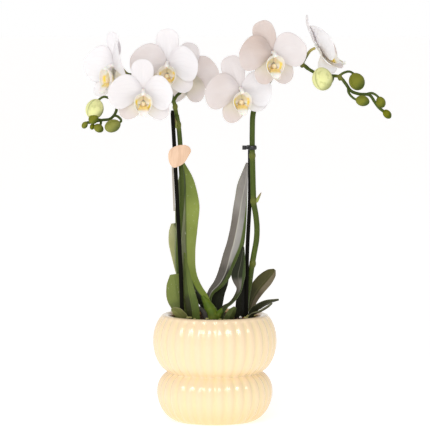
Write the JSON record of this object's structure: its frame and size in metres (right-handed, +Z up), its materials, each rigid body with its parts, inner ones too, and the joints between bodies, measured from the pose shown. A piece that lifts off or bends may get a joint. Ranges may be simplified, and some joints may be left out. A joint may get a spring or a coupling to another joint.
{
  "type": "potted orchid",
  "caption": "White moth orchid with two arching flower spikes on stakes, in a ribbed two-bulge glazed ceramic pot filled with bark.",
  "frame": {"origin": "middle of the flat foot of the ceramic pot, on the surface it stands on", "axes": "+Z up along the pot and the stems, +X towards the longer spike's tip, -Y the side that the flowers face"},
  "size_m": [0.308, 0.121, 0.4061],
  "materials": {
    "glaze": "glossy cream glaze over ribbed stoneware, slightly deeper in the grooves",
    "grow_pot": "thin dark moulded plastic",
    "bark": "rough split pine bark, orange brown to dark brown, with some moss and perlite",
    "crown": "satin bright green leaf base",
    "leaf": "satin leathery green, greyish underneath, with a pale rib",
    "root": "matte grey velvety root with a dark tip",
    "stem": "satin green stem, yellower at its joints, with pale green buds",
    "petal": "white, soft, faintly veined, warm towards the middle",
    "lip": "yellow and white with dark red bars and freckles",
    "stake": "charcoal coated thin stake",
    "clip": "black moulded plastic",
    "tag": "pale bare plywood with fine grain"
  },
  "bodies": {
    "root": {"pot": "glaze", "nursery_pot": "grow_pot", "bark": "bark", "crown": "crown", "leaf_left_main": "leaf", "leaf_left_rear": "leaf", "leaf_left_pale": "leaf", "leaf_left_broad": "leaf", "leaf_left_inner": "leaf", "leaf_left_small": "leaf", "leaf_right_tall": "leaf", "leaf_right_dark": "leaf", "leaf_right_arching": "leaf", "leaf_right_stub": "leaf", "leaf_right_short": "leaf", "leaf_right_spread": "leaf", "leaf_right_narrow": "leaf", "leaf_right_low": "leaf", "aerial_root": "root", "spike_left": "stem", "spike_right": "stem", "bloom_left_first": "petal", "lip_left_first": "lip", "bloom_left_second": "petal", "lip_left_second": "lip", "bloom_left_third": "petal", "lip_left_third": "lip", "bloom_left_fourth": "petal", "lip_left_fourth": "lip", "bloom_right_first": "petal", "lip_right_first": "lip", "bloom_right_second": "petal", "lip_right_second": "lip", "bloom_right_third": "petal", "lip_right_third": "lip", "stake_left": "stake", "stake_right": "stake", "clip": "clip", "tag": "tag"}
  },
  "joints": []
}
